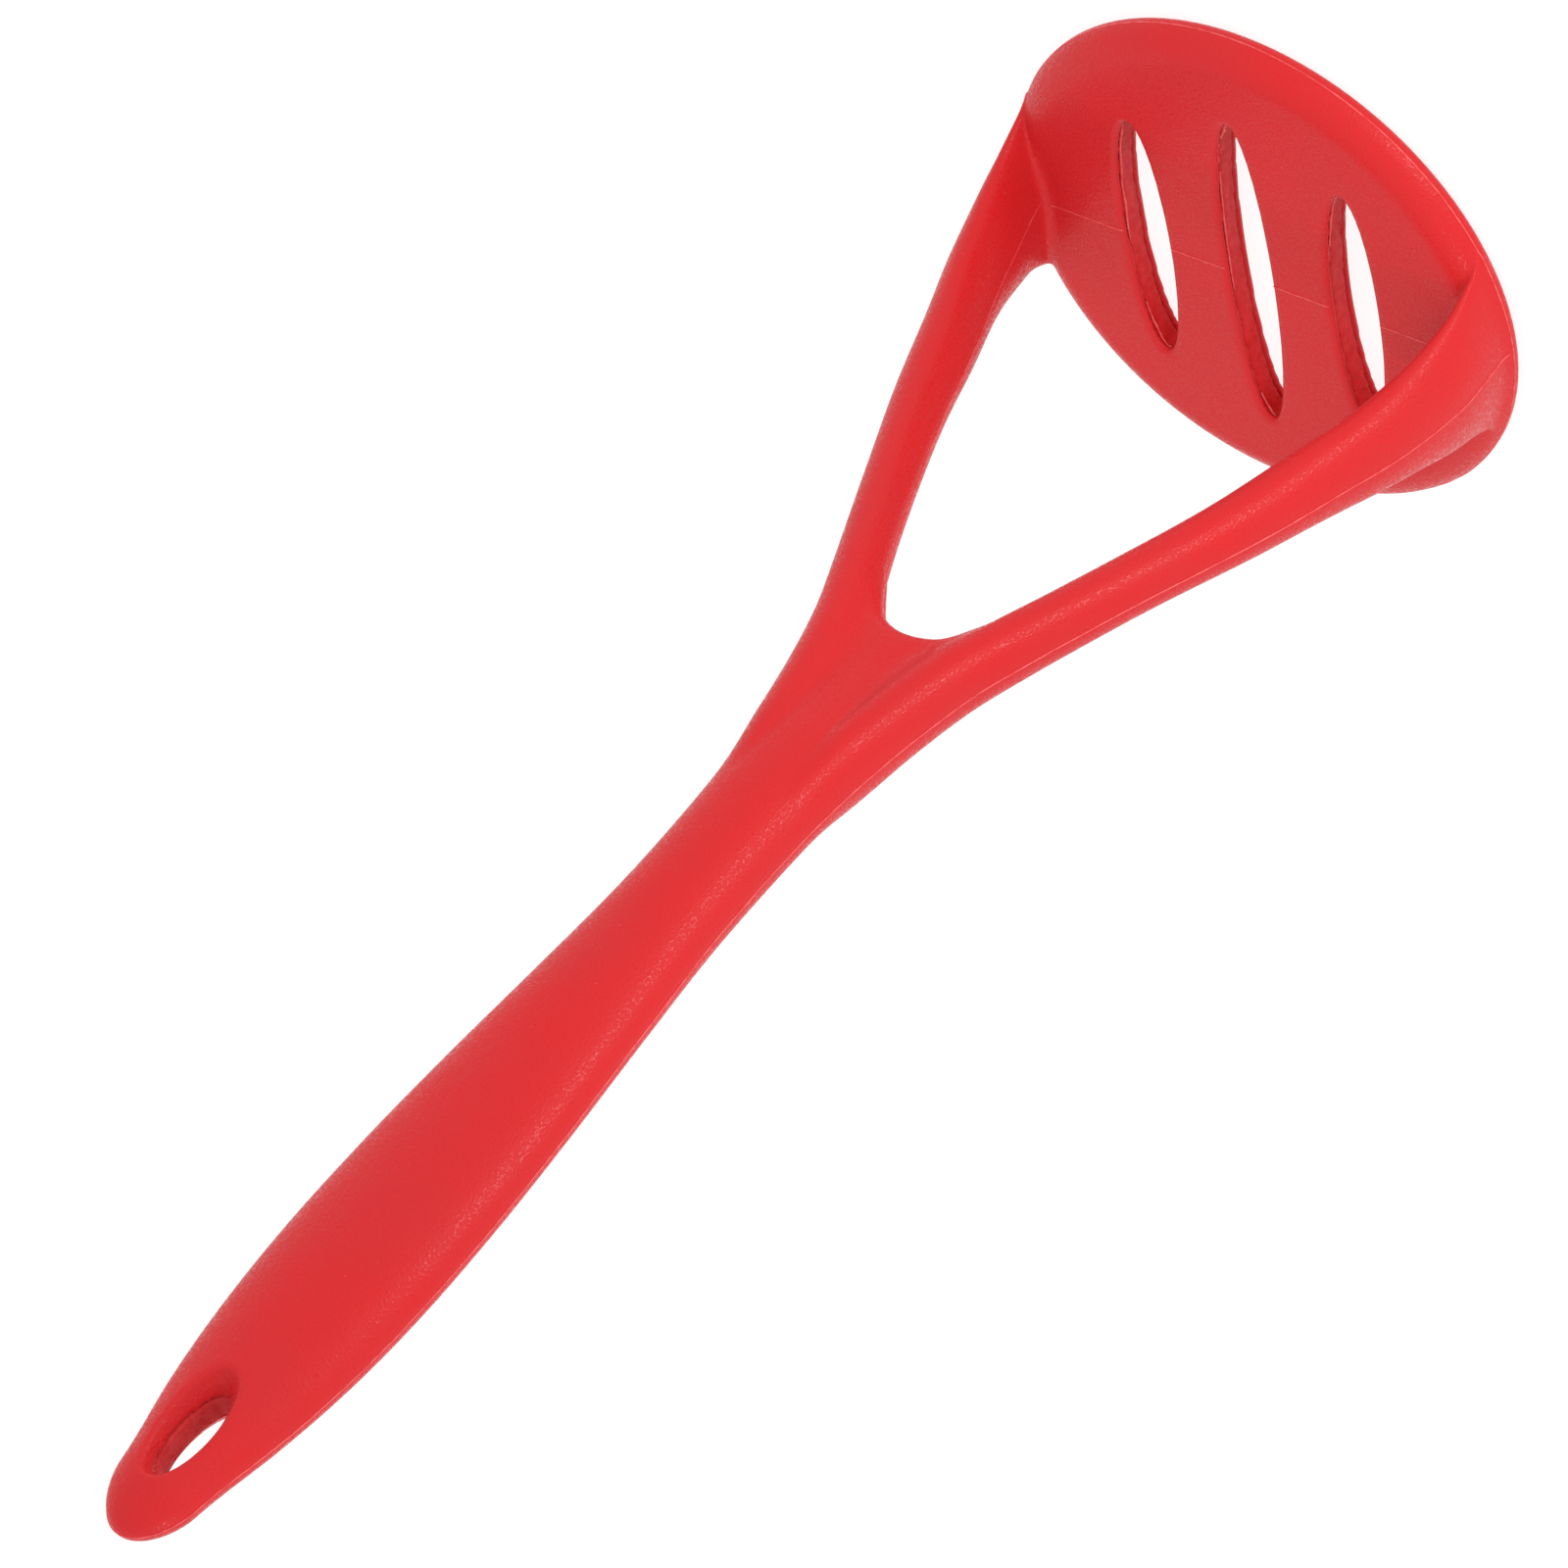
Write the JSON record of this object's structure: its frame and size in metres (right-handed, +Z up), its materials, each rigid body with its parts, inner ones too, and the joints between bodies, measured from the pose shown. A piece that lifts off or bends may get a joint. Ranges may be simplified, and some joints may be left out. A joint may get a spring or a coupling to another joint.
{
  "type": "potato masher",
  "caption": "Hand masher with a round slotted mashing plate, a forked neck and a tapered oval handle with an oval hanging hole, soft silicone moulded over a stiff nylon core.",
  "frame": {"origin": "centre of the flat mashing face of the plate, which rests on the floor", "axes": "+Z up along the handle; the two arms of the fork lie in the X-Z plane, at +X and -X; the slots are long in Y and the hanging hole runs through along Y"},
  "size_m": [0.095, 0.095, 0.2805],
  "materials": {
    "silicone_red": "satin, finely grained silicone rubber",
    "nylon_red": "dull, rough glass-filled nylon"
  },
  "bodies": {
    "root": {"silicone_skin": "silicone_red", "nylon_core": "nylon_red"}
  },
  "joints": []
}
